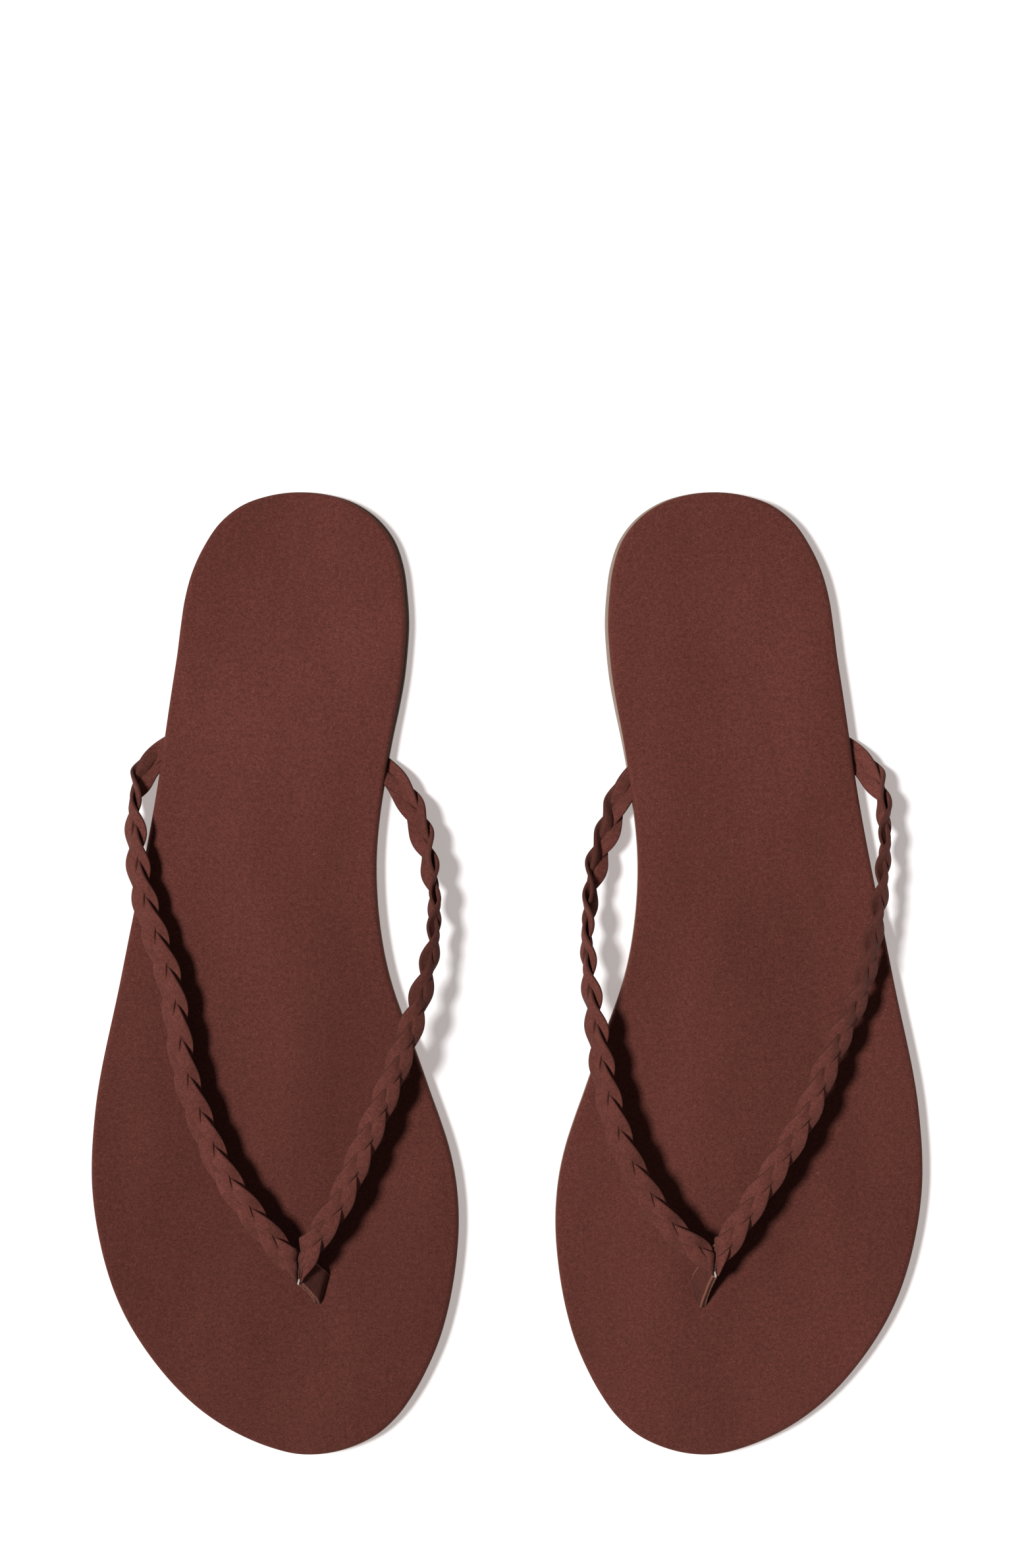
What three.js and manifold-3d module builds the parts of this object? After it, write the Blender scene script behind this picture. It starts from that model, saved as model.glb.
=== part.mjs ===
// A pair of thong sandals (flip flops) with plaited leather straps, in millimetres, +Z up.
// The soles lie flat on z = 0 with their heels toward +Y and their toes toward -Y.
// Each sandal is drawn as a left one, about the middle of its heel, with its outer side
// toward +X. The right sandal is the same sole mirrored, with the lie of its own straps.
import * as THREE from "three";
import { mergeVertices } from "three/addons/utils/BufferGeometryUtils.js";
import Module from "manifold-3d";

const wasm = await Module();
wasm.setup();

// The pair.
const SOLE_LENGTH = 255;
const HEEL_SPACING = 109.8;

// The layers of a sole, from the floor up.
const OUTSOLE_THICKNESS = 2.6;
const MIDSOLE_THICKNESS = 1.4;
const BOARD_THICKNESS = 0.8;
const FOAM_THICKNESS = 0.8;
const LEATHER_THICKNESS = 1.0;
const OUTSOLE_MARGIN = 0.1;
const HEEL_SHIFT = -0.7;
const HEEL_SHIFT_START = 40;
const HEEL_SHIFT_END = 78;
const MIDSOLE_INSET = 0.5;
const FIT_GAP = 0.3;
const OUTLINE_POINTS = 80;
const ARC_POINTS = 6;

// The plaited straps: three flat leather strands that pass over and under each other.
const PLAIT_PERIOD = 29;
const STRAND_WIDTH = 2.3;
const STRAND_THICKNESS = 0.8;
const STRAND_STEP = 2.6;
const PLAIT_HALF_WIDTH = 2.8;
const PLAIT_HALF_DEPTH = 1.15;
const FANNED_HALF_WIDTH = 3.4;
const UNPLAITED_LENGTH = 23;
const FAN_LENGTH = 7;

// The strap ends that are cemented between the midsole's cut-outs and the board.
const TAB_LENGTH = 9;
const TAB_WIDTH = 10;
const TAB_THICKNESS = 0.9;
const TAB_GAP = 1.2;
const NOTCH_LENGTH = 20;
const NOTCH_WIDTH = 12.5;

// The toe post: two leather plies with a tape between them, through a slot in the footbed.
const POST_WIDTH = 8.4;
const PLY_THICKNESS = 0.7;
const TAPE_THICKNESS = 0.3;
const PLY_GAP = 0.3;
const POST_STEPS = 14;
const POST_END = OUTSOLE_THICKNESS + MIDSOLE_THICKNESS + 0.9;
const SLOT = { x: -5.1, y: -84, width: 5.6, length: 13 };
const POST_TURN = THREE.MathUtils.degToRad(17);
const ANCHOR = { length: 17, width: 12, thickness: 0.8 };
const SEAM_CLEARANCE = 1.4;
const SEAM_BLOCK = 40;
const STITCH_RADIUS = 0.4;
const STITCH_LENGTH = 3.2;
const STITCH_CLEARANCE = 0.8;

const MIDSOLE_BASE = OUTSOLE_THICKNESS;
const BOARD_BASE = MIDSOLE_BASE + MIDSOLE_THICKNESS;
const FOAM_BASE = BOARD_BASE + BOARD_THICKNESS;
const LEATHER_BASE = FOAM_BASE + FOAM_THICKNESS;
const FOOTBED_TOP = LEATHER_BASE + LEATHER_THICKNESS;
const TAB_MIDDLE = MIDSOLE_BASE + MIDSOLE_THICKNESS / 2;

// The footbed's outline, from the back of the heel round the outer side to the toe and
// back along the arch.
const OUTLINE = [
  [1, 127.5], [17.9, 122.4], [28.3, 107], [33.2, 80], [38.6, 44.5], [47.2, 0],
  [54.2, -36], [54.6, -62], [47, -89.5], [30, -112.5], [12.5, -123.8], [-4, -127.5],
  [-22, -121], [-35.4, -101], [-41.6, -74], [-40.8, -52], [-32.2, -25], [-23, 2],
  [-20.2, 28], [-23.1, 56], [-27.2, 80], [-28, 97], [-24.6, 114.2], [-15.4, 123.8],
];

// How each strap lies, from the toe post to where it goes into the sole: x, y, z and how
// far its outer face leans out from facing straight up, in degrees.
const STRAP_ROUTES = {
  left: {
    lateral: [
      [-0.6, -76.6, 18, 2], [6, -66.2, 20.6, 4], [15.2, -52, 21.4, 8],
      [23.7, -37.4, 21.4, 16], [31, -20.7, 20, 30], [38.8, -4.1, 17.8, 50],
      [42.6, 11.6, 15.6, 64], [44.8, 27.2, 13, 76], [45.4, 40.2, 10.2, 92],
      [44.6, 47.2, 7.6, 122], [41.6, 53, 4.3, 168], [37, 57.6, TAB_MIDDLE, 180],
      [30.7, 61.5, TAB_MIDDLE, 180],
    ],
    medial: [
      [0.6, -76.6, 18, 2], [-7, -71, 19.6, 4], [-14.4, -63.4, 20.6, 6],
      [-23.4, -48.2, 20.8, 12], [-28.8, -31.8, 18.8, 26], [-32, -12.8, 16.8, 50],
      [-33.8, 2, 14.6, 74], [-33.8, 15.2, 12.4, 94], [-31.6, 29, 9.8, 136],
      [-27.8, 39.6, 6.9, 156], [-25, 46.9, 3.7, 176], [-20.8, 52.2, TAB_MIDDLE, 180],
      [-14.2, 56.7, TAB_MIDDLE, 180],
    ],
  },
  right: {
    lateral: [
      [-0.6, -78.6, 17.6, 2], [9.6, -67, 18.8, 4], [19.6, -53, 18.2, 6],
      [25.8, -39, 17.4, 10], [30.4, -25, 16.8, 16], [33.9, -4.1, 16, 20],
      [38.2, 9.8, 14.8, 20], [42.2, 23.8, 13, 36], [43.8, 38, 10.4, 52],
      [43.8, 47, 7.6, 96], [41.4, 53.4, 4.3, 166], [37, 57.8, TAB_MIDDLE, 180],
      [30.7, 61.7, TAB_MIDDLE, 180],
    ],
    medial: [
      [0.6, -78.6, 17.6, 2], [-5.4, -68.4, 19.8, 4], [-10.4, -60.8, 20.4, 6],
      [-17, -46, 20.2, 10], [-24.6, -28.4, 19.4, 20], [-30.6, -12, 17.8, 36],
      [-34.8, 3, 15.4, 64], [-36.2, 15, 12.6, 88], [-34.8, 29, 9.8, 120],
      [-31, 41.4, 7, 160], [-26.6, 49.2, 4.2, 172], [-21.2, 54.4, TAB_MIDDLE, 180],
      [-14.4, 58.8, TAB_MIDDLE, 180],
    ],
  },
};

// The middle line of the toe post, from the seam between the straps down into its slot.
const POST_ROUTES = {
  left: [
    [0, -75.2, 17.2], [-0.1, -75.6, 15.4], [-1.6, -78.4, 12.6], [-3.4, -82.2, 9.3],
    [-4, -84.2, FOOTBED_TOP], [-4.1, -84.8, POST_END],
  ],
  right: [
    [0, -77.2, 16.8], [-0.2, -77.5, 15.2], [-2.3, -79.4, 12.6], [-4.9, -82, 9.5],
    [-5.7, -83.4, FOOTBED_TOP], [-5.8, -83.9, POST_END],
  ],
};

const MATERIALS = {
  suede: { color: 0x66403a, roughness: 0.95, metalness: 0 },
  rubber: { color: 0x968276, roughness: 0.8, metalness: 0 },
  fibreboard: { color: 0x9c8262, roughness: 0.9, metalness: 0 },
  foam: { color: 0xcfc6b6, roughness: 0.95, metalness: 0 },
  tape: { color: 0x4a3029, roughness: 0.9, metalness: 0 },
  thread: { color: 0xd8cfc9, roughness: 0.7, metalness: 0 },
};

function materialNamed(name) {
  const material = new THREE.MeshStandardMaterial(MATERIALS[name]);
  material.name = name;
  return material;
}

// Solids for cutting.

function toSolid(geometry) {
  const bare = geometry.clone();
  bare.deleteAttribute("normal");
  bare.deleteAttribute("uv");
  const merged = mergeVertices(bare, 1e-4);
  return new wasm.Manifold(new wasm.Mesh({
    numProp: 3,
    vertProperties: new Float32Array(merged.attributes.position.array),
    triVerts: new Uint32Array(merged.index.array),
  }));
}

function toGeometry(manifold) {
  const mesh = manifold.getMesh();
  const geometry = new THREE.BufferGeometry();
  geometry.setAttribute("position", new THREE.BufferAttribute(mesh.vertProperties, 3));
  geometry.setIndex(new THREE.BufferAttribute(mesh.triVerts, 1));
  geometry.computeVertexNormals();
  return geometry;
}

function cut(geometry, ...tools) {
  let body = toSolid(geometry);
  for (const tool of tools) {
    body = body.subtract(toSolid(tool));
  }
  return toGeometry(body);
}

// The sole.

function outlineCurve() {
  const points = OUTLINE.map(([x, y]) => new THREE.Vector3(x, y, 0));
  return new THREE.CatmullRomCurve3(points, true);
}

// The footbed's outline, grown by a margin (or shrunk by a negative one). At the heel it is
// shifted to one side.
function outlineShape(margin = 0, heelShift = 0) {
  const curve = outlineCurve();
  const samples = [];
  for (let i = 0; i < OUTLINE_POINTS; i += 1) {
    const u = i / OUTLINE_POINTS;
    samples.push({ point: curve.getPointAt(u), along: curve.getTangentAt(u) });
  }
  const ys = samples.map(({ point }) => point.y);
  const low = Math.min(...ys);
  const high = Math.max(...ys);
  const scale = (SOLE_LENGTH - 2 * OUTSOLE_MARGIN) / (high - low);
  const middle = (low + high) / 2;
  // The outline runs clockwise, so its outward side is on the left of its direction.
  return new THREE.Shape(samples.map(({ point, along }) => {
    const shift = heelShift * THREE.MathUtils.smoothstep(point.y, HEEL_SHIFT_START, HEEL_SHIFT_END);
    return new THREE.Vector2(
      point.x - along.y * margin + shift,
      (point.y - middle) * scale + along.x * margin,
    );
  }));
}

function layer(shape, base, thickness) {
  const geometry = new THREE.ExtrudeGeometry(shape, { depth: thickness, bevelEnabled: false });
  geometry.translate(0, 0, base);
  return geometry;
}

function stadium(length, width) {
  const shape = new THREE.Shape();
  const straight = (length - width) / 2;
  shape.absarc(0, straight, width / 2, 0, Math.PI);
  shape.absarc(0, -straight, width / 2, Math.PI, 2 * Math.PI);
  shape.closePath();
  return shape;
}

function toeSlot(base, height) {
  const shape = new THREE.Shape(stadium(SLOT.length, SLOT.width).getPoints(ARC_POINTS));
  return layer(shape, base, height).rotateZ(POST_TURN).translate(SLOT.x, SLOT.y, 0);
}

function outsole() {
  return layer(outlineShape(OUTSOLE_MARGIN, HEEL_SHIFT), 0, OUTSOLE_THICKNESS);
}

// A block in line with the last stretch of a strap's route, or with the one before it,
// its middle so far past the end of that stretch.
function blockOnRoute(route, stretch, past, length, width, base, height) {
  const [x, y] = route.at(-stretch);
  const [fromX, fromY] = route.at(-stretch - 1);
  const geometry = new THREE.BoxGeometry(length, width, height);
  geometry.translate(past, 0, height / 2);
  geometry.rotateZ(Math.atan2(y - fromY, x - fromX));
  geometry.translate(x, y, base);
  return geometry;
}

function midsole(routes) {
  const deep = [NOTCH_WIDTH, MIDSOLE_BASE - 1, MIDSOLE_THICKNESS + 2];
  const inward = TAB_LENGTH + TAB_GAP + 1 - NOTCH_LENGTH / 2;
  const notches = Object.values(routes).flatMap((route) => [
    blockOnRoute(route, 1, inward, NOTCH_LENGTH, ...deep),
    blockOnRoute(route, 2, 0, NOTCH_LENGTH, ...deep),
  ]);
  const seatOutline = stadium(ANCHOR.length + 2 * FIT_GAP, ANCHOR.width + 2 * FIT_GAP);
  const seatShape = new THREE.Shape(seatOutline.getPoints(ARC_POINTS));
  const seat = layer(seatShape, MIDSOLE_BASE - 1, MIDSOLE_THICKNESS + 2);
  seat.rotateZ(POST_TURN).translate(SLOT.x, SLOT.y, 0);
  const plate = layer(outlineShape(-MIDSOLE_INSET), MIDSOLE_BASE, MIDSOLE_THICKNESS);
  return cut(plate, ...notches, seat);
}

function insoleBoard() {
  const plate = layer(outlineShape(-LEATHER_THICKNESS - FIT_GAP), BOARD_BASE, BOARD_THICKNESS);
  return cut(plate, toeSlot(BOARD_BASE - 1, BOARD_THICKNESS + 2));
}

function footbedFoam() {
  const plate = layer(outlineShape(-LEATHER_THICKNESS - FIT_GAP), FOAM_BASE, FOAM_THICKNESS);
  return cut(plate, toeSlot(FOAM_BASE - 1, FOAM_THICKNESS + 2));
}

// The leather covers the top and is turned down over the edges of the foam and the board.
function footbedLeather() {
  const depth = BOARD_THICKNESS + FOAM_THICKNESS;
  const block = layer(outlineShape(), BOARD_BASE, depth + LEATHER_THICKNESS);
  const hollow = layer(outlineShape(-LEATHER_THICKNESS), BOARD_BASE - 1, depth + 1);
  return cut(block, hollow, toeSlot(BOARD_BASE - 1, depth + LEATHER_THICKNESS + 2));
}

// The straps.

// The middle line of a strap, with the directions across its width and out of its face.
class StrapLine {
  constructor(route, outward) {
    this.line = new THREE.CatmullRomCurve3(route.map(([x, y, z]) => new THREE.Vector3(x, y, z)));
    this.leans = new THREE.SplineCurve(route.map((row, i) => new THREE.Vector2(i, row[3])));
    this.outward = outward;
    this.length = this.line.getLength();
  }

  frameAt(u) {
    const middle = this.line.getPointAt(u);
    const along = this.line.getTangentAt(u);
    const lean = THREE.MathUtils.degToRad(this.leans.getPoint(this.line.getUtoTmapping(u)).y);
    const side = new THREE.Vector3(along.y, -along.x, 0).normalize().multiplyScalar(this.outward);
    const up = new THREE.Vector3().crossVectors(side, along).multiplyScalar(this.outward);
    const face = up.multiplyScalar(Math.cos(lean)).addScaledVector(side, Math.sin(lean));
    const across = new THREE.Vector3().crossVectors(along, face);
    return { middle, face, across };
  }
}

// One strand of the plait. It swings from side to side once in a period, and over and
// under twice. Near the sole it runs on straight, flat beside its neighbours.
class StrandCurve extends THREE.Curve {
  constructor(strap, index) {
    super();
    this.strap = strap;
    this.index = index;
    this.plaited = strap.length - UNPLAITED_LENGTH;
    this.turns = Math.round((6 * this.plaited) / PLAIT_PERIOD) / 6;
  }

  getPoint(u, target = new THREE.Vector3()) {
    const { middle, face, across } = this.strap.frameAt(u);
    const run = u * this.strap.length;
    const fan = THREE.MathUtils.smoothstep(run, this.plaited, this.plaited + FAN_LENGTH);
    const halfWidth = THREE.MathUtils.lerp(PLAIT_HALF_WIDTH, FANNED_HALF_WIDTH, fan);
    const halfDepth = PLAIT_HALF_DEPTH * (1 - fan);
    const turned = this.turns * Math.min(run / this.plaited, 1);
    const phase = 2 * Math.PI * (turned + this.index / 3);
    return target.copy(middle)
      .addScaledVector(across, halfWidth * Math.sin(phase))
      .addScaledVector(face, -halfDepth * Math.sin(2 * phase));
  }

  // The flat section keeps its width across the strap instead of turning freely.
  computeFrenetFrames(segments) {
    const tangents = [];
    const normals = [];
    const binormals = [];
    for (let i = 0; i <= segments; i += 1) {
      const along = this.getTangentAt(i / segments);
      const { across } = this.strap.frameAt(this.getUtoTmapping(i / segments));
      const normal = across.addScaledVector(along, -across.dot(along)).normalize();
      tangents.push(along);
      normals.push(normal);
      binormals.push(new THREE.Vector3().crossVectors(along, normal));
    }
    return { tangents, normals, binormals };
  }
}

function flatSection(width, thickness) {
  const corners = [[1, 1], [-1, 1], [-1, -1], [1, -1]];
  return new THREE.Shape(corners.map(
    ([x, y]) => new THREE.Vector2((x * width) / 2, (y * thickness) / 2),
  ));
}

// The strands stop at the seam in the middle, where the toe post's plies begin.
function strand(strap, index) {
  const path = new StrandCurve(strap, index);
  const geometry = new THREE.ExtrudeGeometry(flatSection(STRAND_WIDTH, STRAND_THICKNESS), {
    steps: Math.round(path.getLength() / STRAND_STEP),
    bevelEnabled: false,
    extrudePath: path,
  });
  const { y, z } = strap.line.points[0];
  const beyondSeam = new THREE.BoxGeometry(SEAM_BLOCK, SEAM_BLOCK, SEAM_BLOCK);
  beyondSeam.translate(strap.outward * (SEAM_CLEARANCE - SEAM_BLOCK / 2), y, z);
  return cut(geometry, beyondSeam);
}

function strapTab(route) {
  return blockOnRoute(
    route, 1, TAB_GAP + TAB_LENGTH / 2, TAB_LENGTH, TAB_WIDTH,
    TAB_MIDDLE - TAB_THICKNESS / 2, TAB_THICKNESS,
  );
}

// The toe post.

class PostCurve extends THREE.Curve {
  constructor(route, shift) {
    super();
    this.line = new THREE.CatmullRomCurve3(route.map((point) => new THREE.Vector3(...point)));
    this.shift = shift;
  }

  // The level direction across the post's width, toward the heel. The post turns in line
  // with its slot on the way down.
  widthAt(u) {
    const turn = POST_TURN * THREE.MathUtils.smoothstep(u, 0, 1);
    return new THREE.Vector3(-Math.sin(turn), Math.cos(turn), 0);
  }

  // The direction out of the post's flat side, toward the outer side of the foot.
  sideAt(u) {
    return this.line.getTangentAt(u).cross(this.widthAt(u)).normalize();
  }

  getPoint(u, target = new THREE.Vector3()) {
    return target.copy(this.line.getPointAt(u)).addScaledVector(this.sideAt(u), this.shift);
  }

  // Every layer of the post has its steps at the same heights.
  getPointAt(u, target) {
    return this.getPoint(u, target);
  }

  computeFrenetFrames(segments) {
    const tangents = [];
    const normals = [];
    const binormals = [];
    for (let i = 0; i <= segments; i += 1) {
      tangents.push(this.line.getTangentAt(i / segments));
      normals.push(this.sideAt(i / segments));
      binormals.push(this.widthAt(i / segments).negate());
    }
    return { tangents, normals, binormals };
  }
}

function postStrip(route, thickness, shift) {
  return new THREE.ExtrudeGeometry(flatSection(thickness, POST_WIDTH), {
    steps: POST_STEPS,
    bevelEnabled: false,
    extrudePath: new PostCurve(route, shift),
  });
}

function toeAnchor() {
  const shape = new THREE.Shape(stadium(ANCHOR.length, ANCHOR.width).getPoints(ARC_POINTS));
  return layer(shape, MIDSOLE_BASE, ANCHOR.thickness)
    .rotateZ(POST_TURN)
    .translate(SLOT.x, SLOT.y, 0);
}

// A bar tack of thread across the front end of the seam between the two straps.
function vertexStitch(route) {
  const [x, y, z] = route[0];
  const bar = new THREE.CapsuleGeometry(STITCH_RADIUS, STITCH_LENGTH - 2 * STITCH_RADIUS, 4, 8);
  bar.rotateZ(Math.PI / 2);
  bar.translate(x, y - POST_WIDTH / 2 - STITCH_RADIUS - STITCH_CLEARANCE, z);
  return bar;
}

// The assembly.

function sandal(side) {
  const group = new THREE.Group();
  const routes = STRAP_ROUTES[side];
  const postRoute = POST_ROUTES[side];
  const add = (name, geometry, material) => {
    const mesh = new THREE.Mesh(geometry, materialNamed(material));
    mesh.name = `${side}_${name}`;
    group.add(mesh);
  };

  add("outsole", outsole(), "rubber");
  add("midsole", midsole(routes), "rubber");
  add("insole_board", insoleBoard(), "fibreboard");
  add("footbed_foam", footbedFoam(), "foam");
  add("footbed_leather", footbedLeather(), "suede");

  for (const [part, route] of Object.entries(routes)) {
    const strap = new StrapLine(route, part === "lateral" ? 1 : -1);
    ["a", "b", "c"].forEach((letter, index) => {
      add(`${part}_strand_${letter}`, strand(strap, index), "suede");
    });
    add(`${part}_strap_tab`, strapTab(route), "suede");
  }

  const plyShift = TAPE_THICKNESS / 2 + PLY_GAP + PLY_THICKNESS / 2;
  add("toe_post_outer_ply", postStrip(postRoute, PLY_THICKNESS, plyShift), "suede");
  add("toe_post_inner_ply", postStrip(postRoute, PLY_THICKNESS, -plyShift), "suede");
  add("toe_post_tape", postStrip(postRoute, TAPE_THICKNESS, 0), "tape");
  add("toe_anchor", toeAnchor(), "rubber");
  add("vertex_stitch", vertexStitch(postRoute), "thread");

  group.position.x = side === "left" ? HEEL_SPACING / 2 : -HEEL_SPACING / 2;
  group.scale.x = side === "left" ? 1 : -1;
  return group;
}

const pair = new THREE.Group();
pair.add(sandal("left"), sandal("right"));

export default pair;
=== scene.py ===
"""A pair of thong sandals with plaited suede straps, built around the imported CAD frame."""
import math

import bmesh
import bpy
import numpy as np
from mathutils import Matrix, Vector, noise


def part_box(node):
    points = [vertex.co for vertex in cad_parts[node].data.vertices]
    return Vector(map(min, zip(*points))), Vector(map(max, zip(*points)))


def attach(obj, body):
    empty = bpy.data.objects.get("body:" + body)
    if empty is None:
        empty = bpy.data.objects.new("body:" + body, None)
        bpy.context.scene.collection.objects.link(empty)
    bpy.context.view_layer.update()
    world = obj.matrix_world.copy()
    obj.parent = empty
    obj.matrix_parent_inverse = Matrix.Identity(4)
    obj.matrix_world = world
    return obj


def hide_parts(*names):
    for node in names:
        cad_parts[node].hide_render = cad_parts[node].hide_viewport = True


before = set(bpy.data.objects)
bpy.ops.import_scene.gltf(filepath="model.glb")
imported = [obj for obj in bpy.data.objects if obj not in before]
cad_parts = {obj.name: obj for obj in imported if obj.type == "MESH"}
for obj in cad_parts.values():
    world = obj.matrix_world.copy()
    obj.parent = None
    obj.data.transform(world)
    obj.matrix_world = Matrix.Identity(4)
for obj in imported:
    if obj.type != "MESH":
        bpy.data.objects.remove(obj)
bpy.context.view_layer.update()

MM = 0.001

# Points this near each other, in metres, count as one.
SAME_POINT = 1e-6

# Each sandal is drawn in millimetres, as a left one about the middle of its heel, with its
# outer side toward +X, and placed so far from the middle of the pair. The right one is
# mirrored. Both run from toe to heel along +Y, with Y = 0 half way.
HEEL_OFFSET = 54.9
SOLE_HALF_LENGTH = 127.5
SIDES = ("left", "right")
ARMS = {"lateral": 1, "medial": -1}
LETTERS = ("a", "b", "c")

# The heights of the sole's layers, from the CAD nodes, in millimetres.
OUTSOLE_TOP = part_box("left_outsole")[1].z / MM
BOARD_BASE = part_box("left_insole_board")[0].z / MM
LEATHER_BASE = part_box("left_footbed_foam")[1].z / MM
FOOTBED_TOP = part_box("left_footbed_leather")[1].z / MM
TAB_MIDDLE = (OUTSOLE_TOP + BOARD_BASE) / 2

# The camera looks straight down on the pair.
CAMERA_HEIGHT = 2.0
CAMERA_CENTRE = (0.00105, 0.0501)
VIEW_HEIGHT = 0.4165
SENSOR = 36.0

# The strap's plait, its lengths in millimetres. Its last stretch opens into a flat band.
PLAIT_PERIOD = 29.0
STRAND_WIDTH = 3.9
STRAND_THICKNESS = 0.95
PLAIT_HALF_WIDTH = 1.75
PLAIT_HALF_DEPTH = 0.95
STRAND_TILT = math.radians(16)
STRAND_ROLL = math.radians(20)
STRAND_CROWN = 0.3
EDGE_DROP = 0.4
UNPLAITED_LENGTH = 12.0
FAN_LENGTH = 6.0
FLAT_STRAND_WIDTH = 3.1
FLAT_HALF_WIDTH = 2.3
FLAT_LIFT = 0.25
FAN_THINNING = 0.2
PHASE_EASE = 0.02
STATION_STEP = 0.6
SECTION_POINTS = 20
SECTION_ROUNDING = (0.4, 0.55)
WALL_SHARE = 0.8
EDGE_SHARPNESS = 12
WIDTH_CHANGE = 0.04
WIDTH_CHANGE_RATE = 0.31
WIDTH_CHANGE_SHIFT = 2.1

# The seam between the two straps, where their ends turn down into the toe post.
FOLD_RADIUS = 0.9
FOLD_DEPTH = 0.5
FOLD_EVENNESS = 0.7
VERTEX_TAPER = 7.0
VERTEX_WIDTH_SHARE = 0.74
VERTEX_DEPTH_SHARE = 0.45
VERTEX_THINNING = 0.25
VERTEX_TILT_LOSS = 0.5
SEAM_TUCK = 3.4
FOLD_HANG = 0.9

# How each strap lies, from the toe post to where it goes into the sole: x, y, z and how
# far its outer face leans out from facing straight up, in degrees.
STRAP_ROUTES = {
    "left": {
        "lateral": [
            (-0.6, -76.6, 18, 2), (6, -66.2, 20.6, 4), (15.2, -52, 21.4, 8),
            (23.7, -37.4, 21.4, 16), (31, -20.7, 20, 30), (38.8, -4.1, 17.8, 50),
            (42.6, 11.6, 15.6, 64), (44.8, 27.2, 13, 76), (45.4, 40.2, 10.2, 92),
            (44.6, 47.2, 7.6, 122), (41.6, 53, 4.3, 168), (37, 57.6, TAB_MIDDLE, 180),
            (30.7, 61.5, TAB_MIDDLE, 180),
        ],
        "medial": [
            (0.6, -76.6, 18, 2), (-7, -71, 19.6, 4), (-14.4, -63.4, 20.6, 6),
            (-23.4, -48.2, 20.8, 12), (-28.8, -31.8, 18.8, 26), (-32, -12.8, 16.8, 50),
            (-33.8, 2, 14.6, 74), (-33.8, 15.2, 12.4, 94), (-31.6, 29, 9.8, 136),
            (-27.8, 39.6, 6.9, 156), (-25, 46.9, 3.7, 176),
            (-20.8, 52.2, TAB_MIDDLE, 180), (-14.2, 56.7, TAB_MIDDLE, 180),
        ],
    },
    "right": {
        "lateral": [
            (-0.6, -78.6, 17.6, 2), (9.6, -67, 18.8, 4), (19.6, -53, 18.2, 6),
            (25.8, -39, 17.4, 10), (30.4, -25, 16.8, 16), (33.9, -4.1, 16, 20),
            (38.2, 9.8, 14.8, 20), (42.2, 23.8, 13, 36), (43.8, 38, 10.4, 52),
            (43.8, 47, 7.6, 96), (41.4, 53.4, 4.3, 166), (37, 57.8, TAB_MIDDLE, 180),
            (30.7, 61.7, TAB_MIDDLE, 180),
        ],
        "medial": [
            (0.6, -78.6, 17.6, 2), (-5.4, -68.4, 19.8, 4), (-10.4, -60.8, 20.4, 6),
            (-17, -46, 20.2, 10), (-24.6, -28.4, 19.4, 20), (-30.6, -12, 17.8, 36),
            (-34.8, 3, 15.4, 64), (-36.2, 15, 12.6, 88), (-34.8, 29, 9.8, 120),
            (-31, 41.4, 7, 160), (-26.6, 49.2, 4.2, 172), (-21.2, 54.4, TAB_MIDDLE, 180),
            (-14.4, 58.8, TAB_MIDDLE, 180),
        ],
    },
}

# The toe post, in millimetres: two plies, from the seam down through a slit. The last
# point but one is the middle of the slit. The plies turn on their way down to it.
POST_ROUTES = {
    "left": [
        (0, -75.2, 17.2), (-0.1, -75.6, 15.4), (-1.6, -78.4, 12.6), (-3.4, -82.2, 9.3),
        (-4, -84.2, FOOTBED_TOP), (-4.1, -84.8, 4.9),
    ],
    "right": [
        (0, -77.2, 16.8), (-0.2, -77.5, 15.2), (-2.3, -79.4, 12.6), (-4.9, -82, 9.5),
        (-5.7, -83.4, FOOTBED_TOP), (-5.8, -83.9, 4.9),
    ],
}
POST_WIDTH = 8.4
POST_TURN = math.radians(17)
PLY_THICKNESS = 1.0
PLY_SHIFT = 0.55
PLY_WEAR = 0.4
PLY_WEAR_RATE = 2.6
POST_SQUEEZE = 3.0
POST_TOP_SHARE = 0.15
POST_STATIONS = 70
POST_SECTION_POINTS = 24
SLIT_EASE = 0.12

# The loop of thread over the front end of the seam, in millimetres. Each of its ends goes a
# little past half a turn, in radians.
STITCH_RADIUS = 0.62
STITCH_THICKNESS = 0.5
STITCH_SINK = 0.35
STITCH_SWAY = 0.12
STITCH_PAST = 0.3
STITCH_STATIONS = 24
STITCH_SECTION_POINTS = 12

# The footbed cover, in millimetres: its grid stops short of its edge, which rolls over,
# goes down to the midsole and turns in. The surface is uneven, and drawn down at the slit.
COVER_INSET = 3.2
COVER_EASE = ((0.7, 0), (1.3, -0.02))
COVER_ROLL = 1.3
COVER_THICKNESS = 1.2
COVER_GAP = 0.05
HEM_RADIUS = 0.3
UNEVENNESS = 0.12
DIMPLE_DEPTH = 0.3
DIMPLE_REACH = 2.2
EDGE_TONE_DEPTH = 0.9

# The midsole and its notches for the strap ends, in millimetres.
MIDSOLE_INSET = 0.5
MIDSOLE_RIM = 1.2
MIDSOLE_BEVEL = 0.15
NOTCH_LENGTH = 20
NOTCH_WIDTH = 12.5
NOTCH_PAST = 1.2
NOTCH_TOP = 8

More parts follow.
